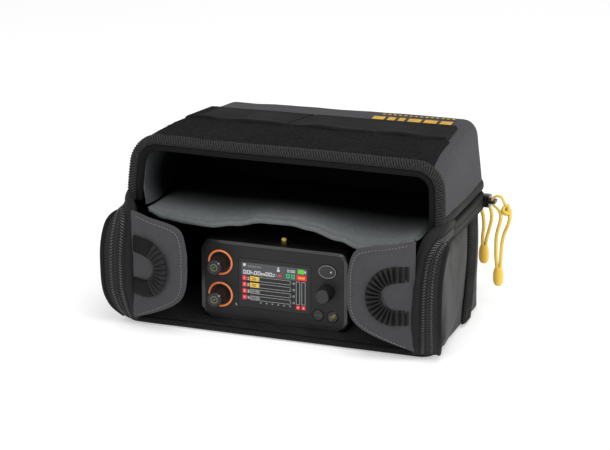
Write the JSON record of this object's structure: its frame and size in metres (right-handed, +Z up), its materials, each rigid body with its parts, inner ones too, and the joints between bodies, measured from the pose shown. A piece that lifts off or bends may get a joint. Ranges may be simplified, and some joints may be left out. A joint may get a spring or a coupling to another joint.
{
  "type": "field recorder in an open-front audio bag",
  "caption": "Soft field-audio bag with a zipped hood, padded divider and folding front wings, holding a small multi-track recorder with lit gain knobs and a display.",
  "frame": {"origin": "centre of the bag's flat underside", "axes": "+Z up, -Y out of the open front, +X to the right seen from the front, along the bag's width"},
  "size_m": [0.3183, 0.1945, 0.1647],
  "materials": {
    "shell_fabric": "dark warm grey ballistic weave, matt",
    "black_nylon": "black ribbed nylon, matt",
    "lining": "grey brushed fleece",
    "webbing": "black woven webbing, faint sheen",
    "loop_pile": "black hook-and-loop pile",
    "zip_metal": "black enamelled metal, semi-gloss",
    "yellow_cord": "yellow braided cord",
    "yellow_tip": "yellow moulded plastic, satin",
    "case": "black moulded plastic, fine texture with a soft gloss",
    "face": "charcoal satin panel",
    "window": "clear hard-coated window over a lit display",
    "display": "display module",
    "glow": "orange lit diffuser",
    "knob": "black rubberised plastic",
    "steel": "plain steel",
    "board": "green circuit board",
    "cell": "sleeved battery pack"
  },
  "bodies": {
    "bag": {"base_panel": "black_nylon", "floor_lining": "lining", "lower_wall": "shell_fabric", "zip_tape_left": "black_nylon", "zip_tape_right": "black_nylon", "side_pad_left": "black_nylon", "side_pad_right": "black_nylon", "side_strap_left": "webbing", "side_strap_right": "webbing", "case_front": "case", "case_rear": "case", "case_screw_1": "steel", "case_screw_2": "steel", "case_screw_3": "steel", "case_screw_4": "steel", "face_plate": "face", "display_window": "window", "display_module": "display", "main_board": "board", "battery": "cell", "light_ring_1": "glow", "light_ring_2": "glow", "gain_sensor_1": "steel", "gain_sensor_2": "steel", "encoder_body": "steel", "record_switch": "steel", "menu_switch": "steel", "play_switch": "steel"},
    "hood": {"hood_wall": "shell_fabric", "hood_top_panel": "shell_fabric", "hood_binding": "black_nylon", "hood_hem_left": "black_nylon", "hood_hem_right": "black_nylon", "top_loop_panel": "loop_pile", "top_webbing": "webbing"},
    "flap": {"divider_flap": "lining"},
    "wing_left": {"wing_left": "shell_fabric", "wing_loop_left": "webbing"},
    "wing_right": {"wing_right": "shell_fabric", "wing_loop_right": "webbing"},
    "side_slider": {"zip_slider_side": "zip_metal"},
    "side_pull": {"pull_cord_side": "yellow_cord", "pull_tip_side": "yellow_tip"},
    "rear_slider": {"zip_slider_rear": "zip_metal"},
    "rear_pull": {"pull_cord_rear": "yellow_cord", "pull_tip_rear": "yellow_tip"},
    "gain_1": {"gain_knob_1": "knob", "gain_shaft_1": "steel"},
    "gain_2": {"gain_knob_2": "knob", "gain_shaft_2": "steel"},
    "encoder_stem": {"encoder_shaft": "steel"},
    "encoder_dial": {"encoder_knob": "knob"},
    "record_key": {"record_button": "case"},
    "menu_key": {"menu_button": "case"},
    "play_key": {"play_button": "case"},
    "lock": {"lock_slider": "yellow_tip"}
  },
  "joints": [
    {"name": "hood_hinge", "type": "hinge", "parent": "bag", "child": "hood", "pos_m": [0, 0.0765, 0.1065], "axis": [-1, 0, 0], "range_deg": [0, 70]},
    {"name": "flap_hinge", "type": "hinge", "parent": "bag", "child": "flap", "pos_m": [0, 0.064, 0.0965], "axis": [-1, 0, 0], "range_deg": [0, 18]},
    {"name": "wing_left_fold", "type": "hinge", "parent": "bag", "child": "wing_left", "pos_m": [-0.1275, -0.0815, 0.055], "axis": [0, 0, -1], "range_deg": [0, 80]},
    {"name": "wing_right_fold", "type": "hinge", "parent": "bag", "child": "wing_right", "pos_m": [0.1275, -0.0815, 0.055], "axis": [0, 0, 1], "range_deg": [0, 80]},
    {"name": "side_slider_travel", "type": "slide", "parent": "bag", "child": "side_slider", "axis": [0, -1, 0], "range_m": [0, 0.08]},
    {"name": "side_pull_swing", "type": "hinge", "parent": "side_slider", "child": "side_pull", "pos_m": [0.1539, 0.061, 0.1001], "axis": [1, 0, 0], "range_deg": [-35, 35]},
    {"name": "rear_slider_travel", "type": "slide", "parent": "bag", "child": "rear_slider", "axis": [-1, 0, 0], "range_m": [0, 0.018]},
    {"name": "rear_pull_swing", "type": "hinge", "parent": "rear_slider", "child": "rear_pull", "pos_m": [0.123, 0.0865, 0.1001], "axis": [0, 1, 0], "range_deg": [-35, 35]},
    {"name": "gain_1_turn", "type": "hinge", "parent": "bag", "child": "gain_1", "pos_m": [-0.056, -0.0565, 0.058], "axis": [0, 1, 0], "range_deg": [-150, 150]},
    {"name": "gain_2_turn", "type": "hinge", "parent": "bag", "child": "gain_2", "pos_m": [-0.056, -0.0565, 0.029], "axis": [0, 1, 0], "range_deg": [-150, 150]},
    {"name": "encoder_push", "type": "slide", "parent": "bag", "child": "encoder_stem", "axis": [0, 1, 0], "range_m": [0, 0.0005], "stiffness_N_per_m": 600},
    {"name": "encoder_turn", "type": "hinge", "parent": "encoder_stem", "child": "encoder_dial", "pos_m": [0.0409, -0.0565, 0.0426], "axis": [0, 1, 0], "continuous": true},
    {"name": "record_press", "type": "slide", "parent": "bag", "child": "record_key", "axis": [0, 1, 0], "range_m": [0, 0.0005], "stiffness_N_per_m": 500},
    {"name": "menu_press", "type": "slide", "parent": "bag", "child": "menu_key", "axis": [0, 1, 0], "range_m": [0, 0.0005], "stiffness_N_per_m": 500},
    {"name": "play_press", "type": "slide", "parent": "bag", "child": "play_key", "axis": [0, 1, 0], "range_m": [0, 0.0005], "stiffness_N_per_m": 500},
    {"name": "lock_slide", "type": "slide", "parent": "bag", "child": "lock", "axis": [1, 0, 0], "range_m": [0, 0.004]}
  ]
}
